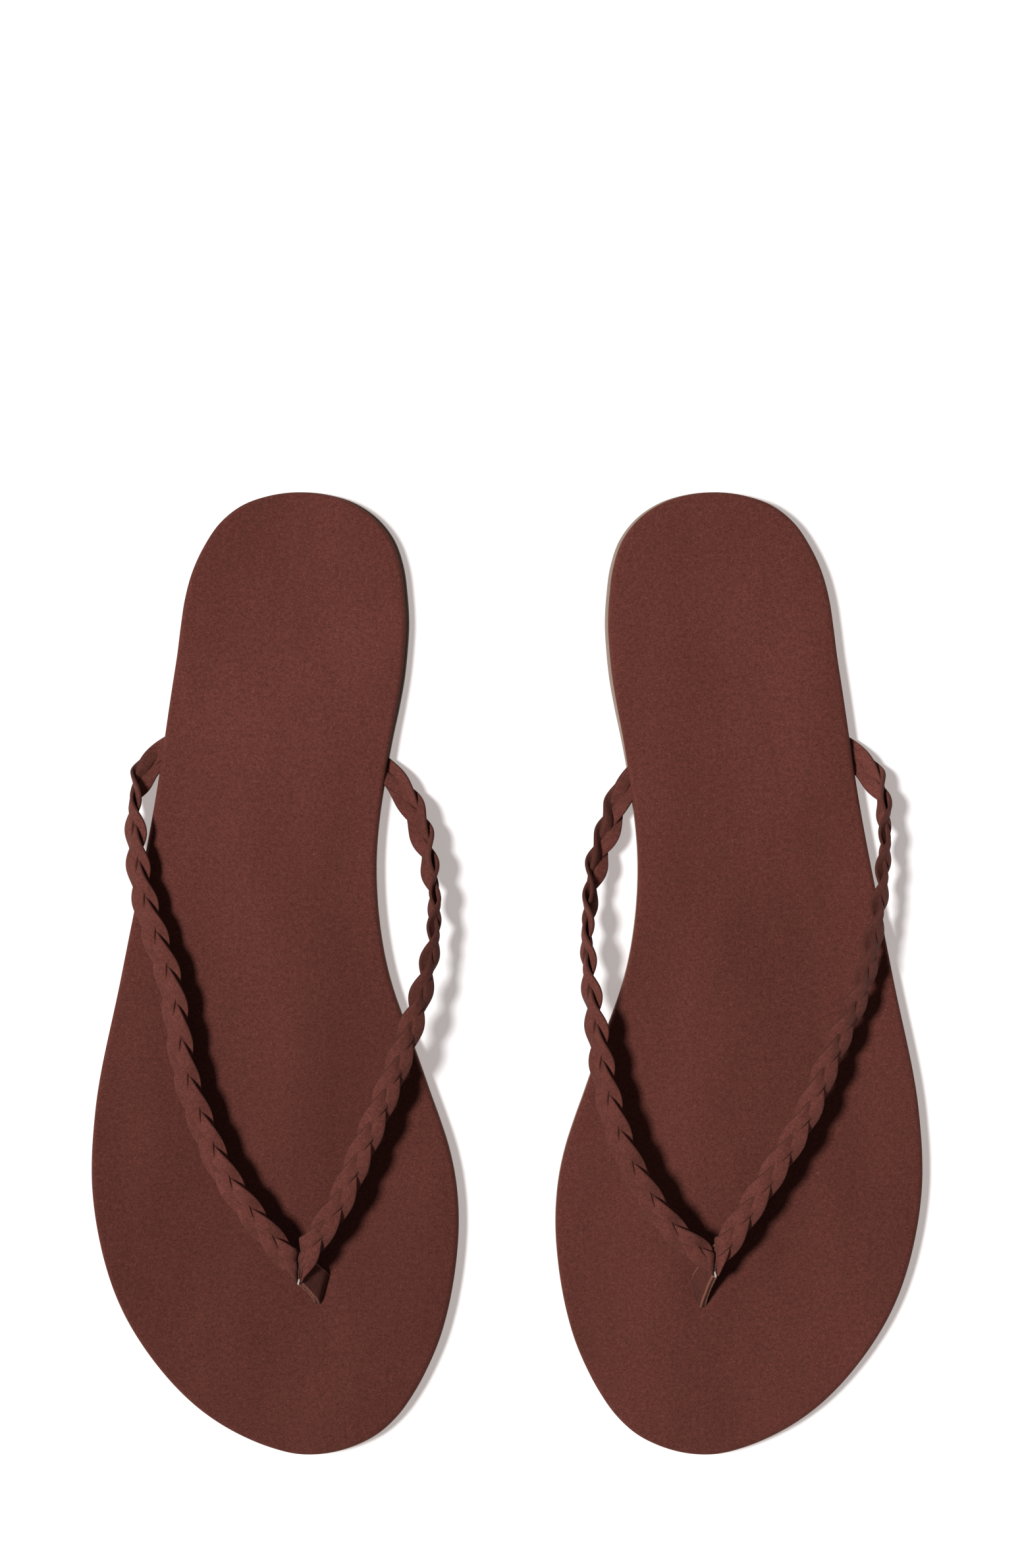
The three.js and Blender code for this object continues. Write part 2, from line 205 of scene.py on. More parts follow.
# The outsole's edges and the tread under it, in millimetres. The waist has no tread.
OUTSOLE_TOP_RADIUS = 0.35
OUTSOLE_BOTTOM_RADIUS = 0.5
TREAD_INSET = 5.0
TREAD_BORDER = (1.0, 0.5)
TREAD_PERIOD = 7.0
TREAD_DEPTH = 0.5
TREAD_SWAY = 2.2
TREAD_SWAY_RATE = 0.28
TREAD_THRESHOLD = 0.3
WAIST_MIDDLE = -4
WAIST_HALF_LENGTH = 20
WAIST_FADE = 5

# Colours, as linear red, green and blue, and the light.
FOOTBED_COLOUR = (0.102, 0.0275, 0.0205)
FOOTBED_EDGE = (0.120, 0.030, 0.017)
# Grey tones along the footbed from the toes to the heel: darker toward the toes, lighter toward
# the heel.
FOOTBED_TOE_TO_HEEL_TONES = (0.91, 0.91, 0.95, 1.06, 1.03)
STRAP_COLOUR = (0.120, 0.0345, 0.0260)
# The strands' walls and rims get this darker tone: partly the cut edges' own tone, partly painted
# shade in the creases between the strands.
STRAP_EDGE_AND_CREASE_SHADE = (0.076, 0.0225, 0.0165)
# The plies' suede is darker than the footbed's: partly a smoother leather's own tone, partly
# painted shade from the straps over the post.
PLY_TONE_AND_PAINTED_SHADE = (0.082, 0.023, 0.0165)
PLY_EDGE = (0.21, 0.076, 0.051)
RUBBER_COLOUR = (0.30, 0.225, 0.185)
THREAD_DARK = (0.30, 0.22, 0.19)
THREAD_LIGHT = (0.62, 0.56, 0.52)
LINT_COLOUR = (0.035, 0.022, 0.018)
FLOOR_COLOUR = (0.65, 0.65, 0.65)
FLOOR_GLOW = (0.38, 0.345, 0.335)
WORLD_STRENGTH = 0.12
KEY_STRENGTH = 3.6
KEY_SPREAD = 10.0
KEY_DIRECTION = (0.45, -0.02, -1)


# Placing a sandal's pieces.

def place(points, side):
    """Points of a left sandal in millimetres, moved to their sandal, in metres."""
    placed = np.array(points, float)
    placed[:, 0] = placed[:, 0] + HEEL_OFFSET
    if side == "right":
        placed[:, 0] = -placed[:, 0]
    return placed * MM


def sandal_mesh(name, side, points, faces):
    """A mesh from points of a left sandal. Its faces point out on both sandals."""
    mesh = bpy.data.meshes.new(name)
    order = faces if side == "left" else [tuple(reversed(face)) for face in faces]
    mesh.from_pydata([tuple(p) for p in place(points, side)], [], order)
    return mesh


def make_piece(name, side, points, faces, material, shades=None):
    """A piece that rides its sandal. Its shades say how near each point is to an edge, where the
    material paints an edge tone; on the straps' strands that tone is partly painted shade in the
    creases.
    """
    mesh = sandal_mesh(name, side, points, faces)
    mesh.materials.append(material)
    if shades is not None:
        layer = mesh.attributes.new("shade", "FLOAT", "POINT")
        layer.data.foreach_set("value", np.asarray(shades, np.float32))
    mesh.polygons.foreach_set("use_smooth", [True] * len(mesh.polygons))
    mesh.update()
    piece = bpy.data.objects.new(name, mesh)
    bpy.context.scene.collection.objects.link(piece)
    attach(piece, f"{side}_flip_flop")
    return piece


def sharpen(piece, degrees):
    piece.data.set_sharp_from_angle(angle=math.radians(degrees))


def cut_with(piece, *tools):
    """Cuts tool meshes out of a piece, and removes the tools."""
    for tool in tools:
        modifier = piece.modifiers.new("cut", "BOOLEAN")
        modifier.operation = "DIFFERENCE"
        modifier.solver = "EXACT"
        modifier.object = tool
    evaluated = piece.evaluated_get(bpy.context.evaluated_depsgraph_get())
    mesh = bpy.data.meshes.new_from_object(evaluated)
    piece.modifiers.clear()
    piece.data = mesh
    for tool in tools:
        bpy.data.objects.remove(tool)


# The sole's outline, taken from the CAD nodes.

def rim_of(node, height):
    """The longest loop of sharp edges of a CAD node at one height, as left-sandal points."""
    mesh = bmesh.new()
    mesh.from_mesh(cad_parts[node].data)
    bmesh.ops.remove_doubles(mesh, verts=mesh.verts, dist=SAME_POINT)
    mesh.normal_update()
    neighbours = {}
    for edge in mesh.edges:
        level = all(abs(v.co.z - height * MM) < SAME_POINT for v in edge.verts)
        slopes = sorted(abs(face.normal.z) for face in edge.link_faces)
        if level and slopes[0] < 0.5 < slopes[-1]:
            first, second = edge.verts
            neighbours.setdefault(first, []).append(second)
            neighbours.setdefault(second, []).append(first)
    loops = []
    while neighbours:
        start = min(neighbours, key=lambda v: v.index)
        loop = [start]
        while loop[-1] in neighbours:
            onward = [v for v in neighbours.pop(loop[-1]) if v in neighbours]
            if not onward:
                break
            loop.append(onward[0])
        loops.append(loop)
    longest = max(loops, key=len)
    points = np.array([(v.co.x / MM - HEEL_OFFSET, v.co.y / MM) for v in longest])
    mesh.free()
    return points


def smooth_between(a, b, c, d, t):
    """A smooth curve from b to c that heads toward a before them and d after them."""
    return 0.5 * (
        2 * b + (c - a) * t + (2 * a - 5 * b + 4 * c - d) * t ** 2
        + (3 * b - a - 3 * c + d) * t ** 3
    )


def smooth_loop(points, steps=12):
    """A closed smooth curve through points, running clockwise seen from above."""
    before = np.roll(points, 1, axis=0)
    after = np.roll(points, -1, axis=0)
    later = np.roll(points, -2, axis=0)
    t = np.linspace(0, 1, steps, endpoint=False)[None, :, None]
    corners = (p[:, None, :] for p in (before, points, after, later))
    curve = smooth_between(*corners, t).reshape(-1, 2)
    area = np.sum(curve[:, 0] * np.roll(curve[:, 1], -1) - curve[:, 1] * np.roll(curve[:, 0], -1))
    return curve[::-1] if area > 0 else curve


def grown(loop, margin):
    """The loop moved outward by a margin, or inward by a negative one."""
    along = np.roll(loop, -1, axis=0) - np.roll(loop, 1, axis=0)
    along /= np.linalg.norm(along, axis=1)[:, None]
    return loop + margin * np.stack([-along[:, 1], along[:, 0]], axis=1)


def rows_across(loop, rows):
    """The two ends of rows across the loop, closer together toward the heel and the toe."""
    heel = int(np.argmax(loop[:, 1]))
    turned = np.roll(loop, -heel, axis=0)
    toe = int(np.argmin(turned[:, 1]))
    outer = turned[: toe + 1]
    inner = np.vstack([turned[toe:], turned[:1]])
    top, bottom = turned[0, 1], turned[toe, 1]
    ys = (top + bottom) / 2 + (top - bottom) / 2 * np.cos(np.pi * np.arange(rows + 1) / rows)
    outer_x = np.interp(-ys, -outer[:, 1], outer[:, 0])
    inner_x = np.interp(ys, inner[:, 1], inner[:, 0])
    outer_x[0] = inner_x[0] = turned[0, 0]
    outer_x[-1] = inner_x[-1] = turned[toe, 0]
    return ys, inner_x, outer_x


class Plate:
    """A closed sole layer: a grid inside a ring, and further rings around and under it."""

    def __init__(self, loop, rows, columns):
        self.rows = rows
        self.columns = columns
        ys, inner_x, outer_x = rows_across(loop, rows)
        self.points = [(outer_x[0], ys[0])]
        self.index = [[0] * (columns + 1)]
        for j in range(1, rows):
            start = len(self.points)
            shares = np.arange(columns + 1) / columns
            xs = inner_x[j] + (outer_x[j] - inner_x[j]) * shares
            self.points += [(x, ys[j]) for x in xs]
            self.index.append(list(range(start, start + columns + 1)))
        self.index.append([len(self.points)] * (columns + 1))
        self.points.append((outer_x[-1], ys[-1]))
        self.points = np.array(self.points)

    def ring(self):
        """The grid's border, clockwise from the heel."""
        outer = [row[-1] for row in self.index]
        inner = [row[0] for row in self.index[1:-1]]
        return outer + inner[::-1]

    def faces(self, offset=0, up=True):
        faces = []
        for j in range(self.rows):
            upper, lower = self.index[j], self.index[j + 1]
            for i in range(self.columns):
                corners = [upper[i], lower[i], lower[i + 1], upper[i + 1]]
                corners = list(dict.fromkeys(corners))
                face = tuple(offset + c for c in corners)
                faces.append(face if up else face[::-1])
        return faces


def ring_band(first, second):
    """Faces between two rings, facing out when the second ring is outside or below."""
    count = len(first)
    return [
        (first[k], first[(k + 1) % count], second[(k + 1) % count], second[k])
        for k in range(count)
    ]


def layered(plate, grid_z, profile, underside=None):
    """Points and faces of a plate whose border runs through (outward, height) pairs.

    It is closed by one face, or by a grid whose heights the underside function gives.
    """
    points = [(x, y, z) for (x, y), z in zip(plate.points, grid_z)]
    faces = plate.faces()
    ring = plate.ring()
    border = plate.points[ring]
    last = ring
    for margin, height in profile:
        start = len(points)
        points += [(x, y, height) for x, y in grown(border, margin)]
        new = list(range(start, start + len(ring)))
        faces += ring_band(last, new)
        last = new
    if underside is None:
        faces.append(tuple(last))
    else:
        start = len(points)
        points += [(x, y, underside(x, y)) for x, y in plate.points]
        faces += ring_band(last, [start + i for i in ring])
        faces += plate.faces(start, up=False)
    return points, faces


def arc(centre, radius, start, end, count):
    """Points of an arc from one angle to another, in degrees, as (outward, height)."""
    angles = np.radians(np.linspace(start, end, count))
    return [(centre[0] + radius * math.cos(a), centre[1] + radius * math.sin(a)) for a in angles]


# The straps.

class StrapLine:
    """The middle line of a strap, with the directions across its width and out of its face."""

    def __init__(self, route, outward, steps=40):
        rows = np.array(route, float)
        ends = np.vstack([2 * rows[:1] - rows[1:2], rows, 2 * rows[-1:] - rows[-2:-1]])
        corners = (ends[i: i + len(rows) - 1, None, :] for i in range(4))
        t = np.linspace(0, 1, steps, endpoint=False)[None, :, None]
        curve = smooth_between(*corners, t).reshape(-1, rows.shape[1])
        curve = np.vstack([curve, rows[-1:]])
        gaps = np.linalg.norm(np.diff(curve[:, :3], axis=0), axis=1)
        self.runs = np.concatenate([[0], np.cumsum(gaps)])
        self.length = self.runs[-1]
        self.curve = curve
        self.outward = outward

    def at(self, runs):
        """Middle points, face directions and across directions at these lengths."""
        columns = [np.interp(runs, self.runs, self.curve[:, k]) for k in range(4)]
        middle = np.stack(columns[:3], axis=1)
        reach = 0.4
        ahead, behind = (
            np.stack([np.interp(np.clip(runs + s, 0, self.length), self.runs, self.curve[:, k])
                      for k in range(3)], axis=1)
            for s in (reach, -reach)
        )
        along = unit(ahead - behind)
        lean = np.radians(columns[3])[:, None]
        side = unit(np.stack([along[:, 1], -along[:, 0], 0 * along[:, 0]], axis=1)) * self.outward
        up = np.cross(side, along) * self.outward
        face = up * np.cos(lean) + side * np.sin(lean)
        return middle, face, np.cross(along, face)


def unit(vectors):
    return vectors / np.linalg.norm(vectors, axis=1)[:, None]


def smoothstep(values, low, high):
    t = np.clip((values - low) / (high - low), 0, 1)
    return t * t * (3 - 2 * t)


def strip_section(count):
    """A flat section with soft edges, as (across, through) shares of half its size."""
    angles = 2 * np.pi * (np.arange(count) + 0.5) / count
    across_power, through_power = SECTION_ROUNDING
    across = np.sign(np.cos(angles)) * np.abs(np.cos(angles)) ** across_power
    through = np.sign(np.sin(angles)) * np.abs(np.sin(angles)) ** through_power
    return across, through


def swept(centres, wide, thick, widths, thicknesses, bows, section):
    """Points and faces of a closed strip along its centres, and each point's share of edge, where
    the edge tone is painted; on the straps that tone is partly painted crease shade.

    A bow lifts the strip's middle above its edges, so that it arches over another strand.
    """
    across, through = section
    count = len(across)
    points = []
    for k in range(len(centres)):
        lift = bows[k] * (0.5 - across ** 2)
        offsets = (
            wide[k][None, :] * (across * widths[k] / 2)[:, None]
            + thick[k][None, :] * (through * thicknesses[k] / 2 + lift)[:, None]
        )
        points.append(centres[k] + offsets)
    points = np.vstack(points)
    faces = []
    for k in range(len(centres) - 1):
        for i in range(count):
            j = (i + 1) % count
            low, high = k * count, (k + 1) * count
            faces.append((low + i, low + j, high + j, high + i))
    faces.append(tuple(reversed(range(count))))
    last = (len(centres) - 1) * count
    faces.append(tuple(last + i for i in range(count)))
    # Side walls, and a thin band of the top at each side: the strap material paints these darker,
    # partly as the cut edges' tone and partly as painted crease shade; the post plies' material
    # paints them as light cut edges.
    edge_and_crease_shade_marks = np.where(np.abs(through) < WALL_SHARE, 1.0, np.abs(across) ** EDGE_SHARPNESS)
    return points, faces, np.tile(edge_and_crease_shade_marks, len(centres))


def fold_down(points, outward, crest, front):
    """Turns the end of a strap down over the seam in the middle, as a sheet over a rod.

    What is turned down ends a little below the seam, and stops at the seam's front end.
    """
    folded = points.copy()
    centre = FOLD_RADIUS + FOLD_DEPTH
    distance = outward * points[:, 0]
    height = points[:, 2] - crest
    past = np.minimum(centre - distance, FOLD_RADIUS * np.pi / 2 + FOLD_HANG)
    turn = np.clip(past / FOLD_RADIUS, 0, np.pi / 2)
    hanging = np.clip(past - FOLD_RADIUS * np.pi / 2, 0, None)
    radius = FOLD_RADIUS + height * (1 - FOLD_EVENNESS * np.sin(turn))
    bent = past > 0
    x = centre - radius * np.sin(turn)
    z = crest - FOLD_RADIUS + radius * np.cos(turn) - hanging
    folded[bent, 0] = outward * x[bent]
    folded[bent, 1] = np.maximum(points[bent, 1], front)
    folded[bent, 2] = z[bent]
    return folded


def strand(side, part, index, material):
    """One strand of a plait: it crosses its neighbours, then lies flat beside them."""
    outward = ARMS[part]
    route = STRAP_ROUTES[side][part]
    first, second = np.array(route[0][:3]), np.array(route[1][:3])
    level = (second - first) * (1, 1, 0)
    beyond = first - level / np.linalg.norm(level) * SEAM_TUCK
    crest = route[0][2]
    line = StrapLine([(*beyond, route[0][3]), *route], outward)
    start = float(np.linalg.norm(beyond - first))
    runs = np.linspace(0, line.length, int(line.length / STATION_STEP))
    middle, face, across = line.at(runs)
    middle[:, 2] = np.where(runs < start, crest, middle[:, 2])

    plaited = line.length - start - UNPLAITED_LENGTH
    turns = round(6 * plaited / PLAIT_PERIOD) / 6
    share = 1 - PHASE_EASE * np.logaddexp(0, (1 - (runs - start) / plaited) / PHASE_EASE)
    phase = 2 * np.pi * (turns * share + index / 3)
    fan = smoothstep(runs - start - plaited, 0, FAN_LENGTH)
    near = 1 - smoothstep(runs - start, 0, VERTEX_TAPER)

    half_width = PLAIT_HALF_WIDTH + (FLAT_HALF_WIDTH - PLAIT_HALF_WIDTH) * fan
    half_width *= 1 - (1 - VERTEX_WIDTH_SHARE) * near
    half_depth = PLAIT_HALF_DEPTH * (1 - fan) * (1 - (1 - VERTEX_DEPTH_SHARE) * near)
    sideways = half_width * np.sin(phase)
    depth = -half_depth * np.sin(2 * phase)
    depth -= EDGE_DROP * np.sin(phase) ** 2 * (1 - fan) * (1 - near)
    depth -= FLAT_LIFT * fan * (1 - 2 * np.abs(np.sin(phase)))
    centres = middle + across * sideways[:, None] + face * depth[:, None]

    along = unit(np.gradient(centres, axis=0))
    wide = unit(across - along * np.sum(across * along, axis=1)[:, None])
    thick = np.cross(along, wide)
    thick *= np.sign(np.sum(thick * face, axis=1))[:, None]
    tilt = -STRAND_TILT * np.cos(phase) - STRAND_ROLL * np.sin(phase)
    tilt = (tilt * (1 - fan) * (1 - VERTEX_TILT_LOSS * near))[:, None]
    tilted = wide * np.cos(tilt) + thick * np.sin(tilt)
    thick = thick * np.cos(tilt) - wide * np.sin(tilt)

    widths = STRAND_WIDTH + (FLAT_STRAND_WIDTH - STRAND_WIDTH) * fan
    widths *= 1 - (1 - VERTEX_WIDTH_SHARE) * near
    widths *= 1 + WIDTH_CHANGE * np.sin(runs * WIDTH_CHANGE_RATE + WIDTH_CHANGE_SHIFT * index)
    thicknesses = STRAND_THICKNESS * (1 - VERTEX_THINNING * near) * (1 - FAN_THINNING * fan)
    bows = -STRAND_CROWN * np.sin(2 * phase) * (1 - fan) * (1 - near)
    points, faces, edges = swept(
        centres, tilted, thick, widths, thicknesses, bows, strip_section(SECTION_POINTS),
    )
    front = POST_ROUTES[side][0][1] - POST_WIDTH / 2
    points = fold_down(points, outward, crest, front)
    faces = facing_out(points, faces)
    name = f"{side}_{part}_suede_strand_{LETTERS[index]}"
    piece = make_piece(name, side, points, faces, material, edges)
    sharpen(piece, 60)
    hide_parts(f"{side}_{part}_strand_{LETTERS[index]}")
    return piece


def facing_out(points, faces):
    """The faces of a closed mesh, turned over if its volume says that they point in."""
    volume = 0.0
    for face in faces:
        origin = points[face[0]]
        for i in range(1, len(face) - 1):
            volume += np.dot(origin, np.cross(points[face[i]], points[face[i + 1]]))
    return faces if volume > 0 else [face[::-1] for face in faces]


# The toe post.

def post_sweep(side, shift, width, thickness, variation=0.0):
    """A strip down the toe post, thin at the top where the straps squeeze it."""
    line = StrapLine([(*point, 0) for point in POST_ROUTES[side]], 1)
    runs = np.linspace(0, line.length, POST_STATIONS)
    middle = line.at(runs)[0]
    along = unit(np.gradient(middle, axis=0))
    turn = POST_TURN * smoothstep(runs / line.length, 0, 1)
    width_way = np.stack([-np.sin(turn), np.cos(turn), 0 * turn], axis=1)
    out = unit(np.cross(along, width_way))
    out *= np.sign(out[:, :1])
    grown_out = POST_TOP_SHARE + (1 - POST_TOP_SHARE) * smoothstep(runs, 0, POST_SQUEEZE)
    centres = middle + out * shift * grown_out[:, None]
    spots = [Vector((run * PLY_WEAR_RATE, shift * 9, 2.3)) for run in runs]
    rough = np.array([noise.noise(spot) for spot in spots])
    widths = width + variation * rough
    section = strip_section(POST_SECTION_POINTS)
    return swept(centres, width_way, out, widths, thickness * grown_out, 0 * runs, section)


def post_ply(side, name, shift, material):
    """One leather ply of the toe post, with worn cut edges."""
    points, faces, edges = post_sweep(side, shift, POST_WIDTH, PLY_THICKNESS, PLY_WEAR)
    faces = facing_out(points, faces)
    piece = make_piece(f"{side}_post_{name}_suede", side, points, faces, material, edges)
    sharpen(piece, 60)
    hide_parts(f"{side}_toe_post_{name}")
    return piece


def stitch(side, material):
    """A short twisted loop of thread over the front end of the seam."""
    x, y, z = POST_ROUTES[side][0]
    front = y - POST_WIDTH / 2
    turns = np.linspace(-STITCH_PAST, np.pi + STITCH_PAST, STITCH_STATIONS)
    middle = np.stack([
        x + STITCH_SWAY * np.sin(2 * turns),
        front + STITCH_SINK - STITCH_RADIUS * np.cos(turns),
        z - STITCH_SINK + STITCH_RADIUS * np.sin(turns),
    ], axis=1)
    along = unit(np.gradient(middle, axis=0))
    wide = np.tile([1.0, 0, 0], (len(turns), 1))
    out = np.cross(along, wide)
    section = strip_section(STITCH_SECTION_POINTS)
    sizes = np.full(len(turns), STITCH_THICKNESS)
    points, faces, edges = swept(middle, wide, out, sizes, sizes, 0 * turns, section)
    faces = facing_out(points, faces)
    piece = make_piece(f"{side}_seam_thread", side, points, faces, material, edges)
    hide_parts(f"{side}_vertex_stitch")
    return piece


# The sole.

def slit_distance(side, x, y):
    """How far a point is from the middle line of the toe post's slit."""
    middle_x, middle_y, _ = POST_ROUTES[side][-2]
    along_x, along_y = -math.sin(POST_TURN), math.cos(POST_TURN)
    run = (x - middle_x) * along_x + (y - middle_y) * along_y
    off = (x - middle_x) * along_y - (y - middle_y) * along_x
    return math.hypot(off, max(abs(run) - POST_WIDTH / 2, 0))


def slit_tool(side):
    """What the toe post takes up, with a little ease, to cut its slit in the footbed."""
    thickness = 2 * PLY_SHIFT + PLY_THICKNESS + SLIT_EASE
    points, faces, _ = post_sweep(side, 0, POST_WIDTH + SLIT_EASE, thickness)
    return points, facing_out(points, faces)


def prism(rim, low, high):
    """Points and faces of an upright prism over an anticlockwise rim."""
    count = len(rim)
    points = [(x, y, low) for x, y in rim] + [(x, y, high) for x, y in rim]
    faces = [tuple(reversed(range(count))), tuple(range(count, 2 * count))]
    for k in range(count):
        after = (k + 1) % count
        faces.append((k, after, count + after, count + k))
    return points, faces


def tool_object(side, points, faces):
    """A mesh to cut other pieces with."""
    tool = bpy.data.objects.new("tool", sandal_mesh("tool", side, points, faces))
    bpy.context.scene.collection.objects.link(tool)
    return tool


def footbed_height(side, x, y):
    """The footbed's surface: nearly flat, a little uneven, and drawn down at the slit."""
    uneven = UNEVENNESS * noise.noise(Vector((x * 0.035, y * 0.03, 4.7)))
    dimple = DIMPLE_DEPTH * math.exp(-(slit_distance(side, x, y) / DIMPLE_REACH) ** 2)
    return FOOTBED_TOP + uneven - dimple


def footbed_cover(side, material):
    """The suede cover, rolled over its edge and turned down to the midsole."""
    outline = smooth_loop(rim_of("left_footbed_leather", FOOTBED_TOP))
    plate = Plate(grown(outline, -COVER_INSET), rows=300, columns=96)
    grid_z = [footbed_height(side, x, y) for x, y in plate.points]
    profile = [(outward, FOOTBED_TOP + rise) for outward, rise in COVER_EASE]
    rolled = (COVER_INSET - COVER_ROLL, FOOTBED_TOP - COVER_ROLL)
    profile += arc(rolled, COVER_ROLL, 90, 0, 9)
    hem_middle = BOARD_BASE + COVER_GAP + HEM_RADIUS
    profile += [(COVER_INSET, hem_middle)]
    profile += arc((COVER_INSET - HEM_RADIUS, hem_middle), HEM_RADIUS, 0, -90, 4)
    inside = COVER_INSET - COVER_THICKNESS
    profile += [(inside, BOARD_BASE + COVER_GAP), (inside, LEATHER_BASE + COVER_GAP)]
    points, faces = layered(plate, grid_z, profile)
    shades = [0.0] * len(plate.points)
    rings = len(plate.ring())
    for _, height in profile:
        fall = min(max((FOOTBED_TOP - height - COVER_GAP) / EDGE_TONE_DEPTH, 0), 1)
        shades += [fall] * rings
    piece = make_piece(f"{side}_suede_footbed", side, points, faces, material, shades)
    cut_with(piece, tool_object(side, *slit_tool(side)))
    sharpen(piece, 50)
    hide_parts(f"{side}_footbed_leather")
    return piece


def tread_height(x, y):
    """The underside: shallow wavy grooves across the forefoot and the heel."""
    zone = smoothstep(abs(y - WAIST_MIDDLE) - WAIST_HALF_LENGTH, 0, WAIST_FADE)
    swaying = y + TREAD_SWAY * math.sin(x * TREAD_SWAY_RATE)
    wave = math.cos(2 * math.pi * swaying / TREAD_PERIOD)
    return TREAD_DEPTH * zone * max(0, (wave - TREAD_THRESHOLD) / (1 - TREAD_THRESHOLD))


def outsole(side, material):
    """The rubber outsole, with softened edges and a shallow tread."""
    outline = smooth_loop(rim_of("left_outsole", OUTSOLE_TOP))
    plate = Plate(grown(outline, -TREAD_INSET), rows=420, columns=40)
    grid_z = [OUTSOLE_TOP] * len(plate.points)
    top, bottom = OUTSOLE_TOP_RADIUS, OUTSOLE_BOTTOM_RADIUS
    profile = [(TREAD_INSET - top, OUTSOLE_TOP)]
    profile += arc((TREAD_INSET - top, OUTSOLE_TOP - top), top, 70, 0, 4)
    profile += arc((TREAD_INSET - bottom, bottom), bottom, 0, -90, 5)
    profile += [(outward, 0) for outward in TREAD_BORDER]
    points, faces = layered(plate, grid_z, profile, tread_height)
    piece = make_piece(f"{side}_rubber_outsole", side, points, faces, material)
    sharpen(piece, 50)
    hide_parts(f"{side}_outsole")
    return piece


def notch_block(route, stretch, side):
    """A block along one stretch of a strap's route near its end, to cut the midsole with."""
    end, start = np.array(route[-stretch][:2]), np.array(route[-stretch - 1][:2])
    along = (end - start) / np.linalg.norm(end - start)
    across = np.array([-along[1], along[0]])
    centre = end + along * (NOTCH_PAST if stretch == 1 else 0)
    rim = [
        centre + along * u * NOTCH_LENGTH / 2 + across * v * NOTCH_WIDTH / 2
        for u, v in ((-1, -1), (1, -1), (1, 1), (-1, 1))
    ]
    return tool_object(side, *prism([tuple(point) for point in rim], 0, NOTCH_TOP))


def midsole(side, material):
    """The thin layer between outsole and footbed, open where the straps go in."""
    cover = smooth_loop(rim_of("left_footbed_leather", FOOTBED_TOP))
    rim, bevel = MIDSOLE_RIM, MIDSOLE_BEVEL
    plate = Plate(grown(cover, -rim - MIDSOLE_INSET), rows=40, columns=8)
    profile = [(rim - bevel, BOARD_BASE), (rim, BOARD_BASE - bevel)]
    profile += [(rim, OUTSOLE_TOP + bevel), (rim - bevel, OUTSOLE_TOP)]
    points, faces = layered(plate, [BOARD_BASE] * len(plate.points), profile)
    piece = make_piece(f"{side}_midsole_layer", side, points, faces, material)
    routes = STRAP_ROUTES[side].values()
    cut_with(piece, *(notch_block(route, k, side) for route in routes for k in (1, 2)))
    sharpen(piece, 50)
    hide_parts(f"{side}_midsole")
    return piece


# Materials.

def new_material(name):
    material = bpy.data.materials.new(name)
    material.use_nodes = True
    nodes = material.node_tree.nodes
    return material, nodes, material.node_tree.links, nodes["Principled BSDF"]


def noise_node(nodes, links, coordinates, scale, detail=2.0, roughness=0.5):
    node = nodes.new("ShaderNodeTexNoise")
    node.inputs["Scale"].default_value = scale
    node.inputs["Detail"].default_value = detail
    node.inputs["Roughness"].default_value = roughness
    links.new(coordinates, node.inputs["Vector"])
    return node.outputs["Fac"]


def ramp(nodes, links, value, stops):
    node = nodes.new("ShaderNodeValToRGB")
    elements = node.color_ramp.elements
    for k, (place_on_ramp, colour) in enumerate(stops):
        element = elements[k] if k < 2 else elements.new(place_on_ramp)
        element.position = place_on_ramp
        element.color = (*colour, 1)
    links.new(value, node.inputs["Fac"])
    return node.outputs["Color"]


def grey(value):
    return (value, value, value)


def dusty(change):
    """A change of brightness with less colour where it is light, as dust and nap give."""
    return (1 + 0.8 * change, 1 + 1.15 * change, 1 + 1.25 * change)


def mix(nodes, links, kind, share, first, second):
    node = nodes.new("ShaderNodeMix")
    node.data_type = "RGBA"
    node.blend_type = kind
    settings = ((node.inputs[0], share), (node.inputs[6], first), (node.inputs[7], second))
    for socket, value in settings:
        if isinstance(value, bpy.types.NodeSocket):
            links.new(value, socket)
        elif isinstance(value, tuple):
            socket.default_value = (*value, 1)
        else:
            socket.default_value = value
    return node.outputs[2]


def stretched(nodes, links, scale, turn=0.0):
    """Object coordinates, stretched and turned about the vertical."""
    coordinates = nodes.new("ShaderNodeTexCoord")
    mapping = nodes.new("ShaderNodeMapping")
    mapping.inputs["Scale"].default_value = scale
    mapping.inputs["Rotation"].default_value = (0, 0, turn)
    links.new(coordinates.outputs["Object"], mapping.inputs["Vector"])
    return mapping.outputs["Vector"]


def bump(nodes, links, height, strength, distance, shader):
    node = nodes.new("ShaderNodeBump")
    node.inputs["Strength"].default_value = strength
    node.inputs["Distance"].default_value = distance
    links.new(height, node.inputs["Height"])
    links.new(node.outputs["Normal"], shader.inputs["Normal"])


def lengthwise(nodes, links, tones):
    """A grey tone that changes from the toes to the heel, given at equal steps."""
    spots = nodes.new("ShaderNodeTexCoord")
    split = nodes.new("ShaderNodeSeparateXYZ")
    links.new(spots.outputs["Object"], split.inputs["Vector"])
    share = nodes.new("ShaderNodeMapRange")
    share.inputs["From Min"].default_value = -SOLE_HALF_LENGTH * MM
    share.inputs["From Max"].default_value = SOLE_HALF_LENGTH * MM
    links.new(split.outputs["Y"], share.inputs["Value"])
    stops = [(k / (len(tones) - 1), grey(tone)) for k, tone in enumerate(tones)]
    return ramp(nodes, links, share.outputs["Result"], stops)


